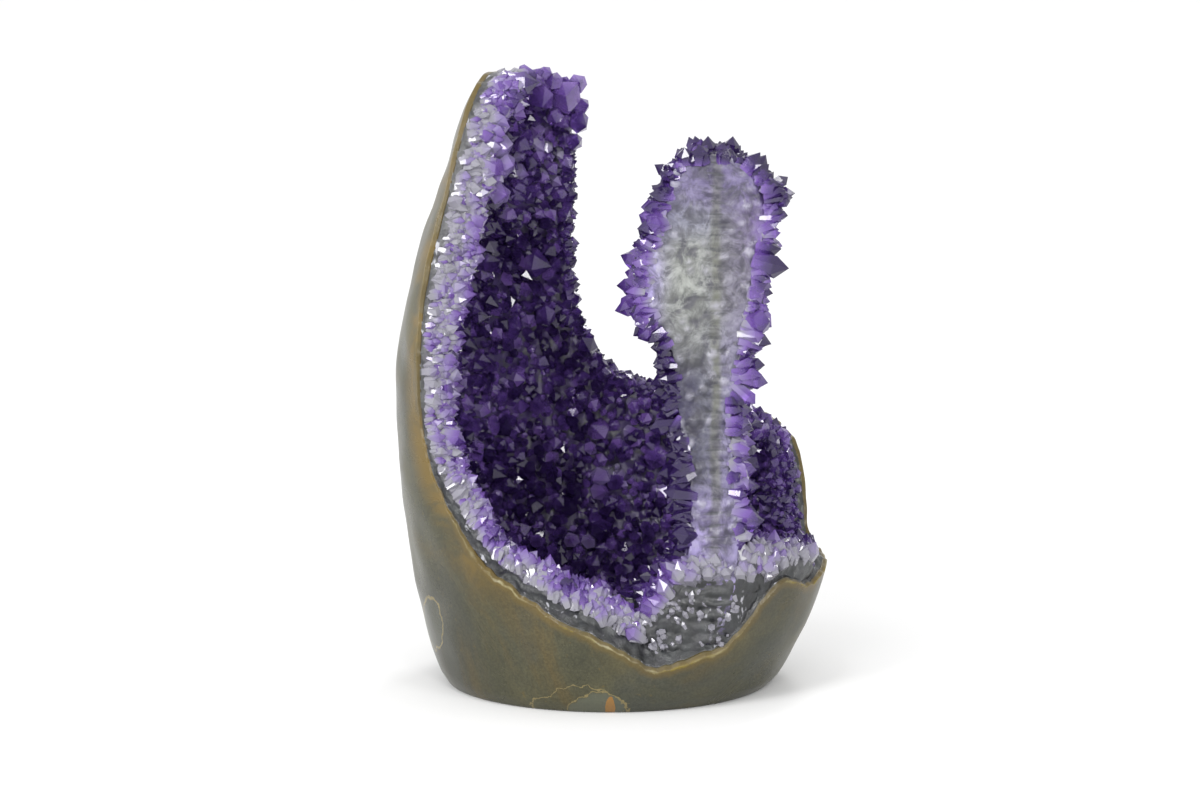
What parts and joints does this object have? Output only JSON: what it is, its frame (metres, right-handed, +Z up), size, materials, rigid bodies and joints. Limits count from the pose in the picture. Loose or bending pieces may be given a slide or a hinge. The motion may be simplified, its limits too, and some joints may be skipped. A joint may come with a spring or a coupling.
{
  "type": "amethyst geode",
  "caption": "Free-standing amethyst geode with a sawn flat base, a polished rock skin, a quartz band, a hollow lined with violet crystals and a crystal-covered septum.",
  "frame": {"origin": "centre of the oval of the sawn base, on the surface that the geode rests on", "axes": "+Z up along the tall wall, +X to the viewer's right, -Y towards the viewer of the open hollow"},
  "size_m": [0.1294, 0.0993, 0.1877],
  "materials": {
    "polished_rock": "satin",
    "quartz": "satin",
    "amethyst": "gloss"
  },
  "bodies": {
    "root": {"rock_skin": "polished_rock", "quartz_band": "quartz", "amethyst_crust": "amethyst"}
  },
  "joints": []
}
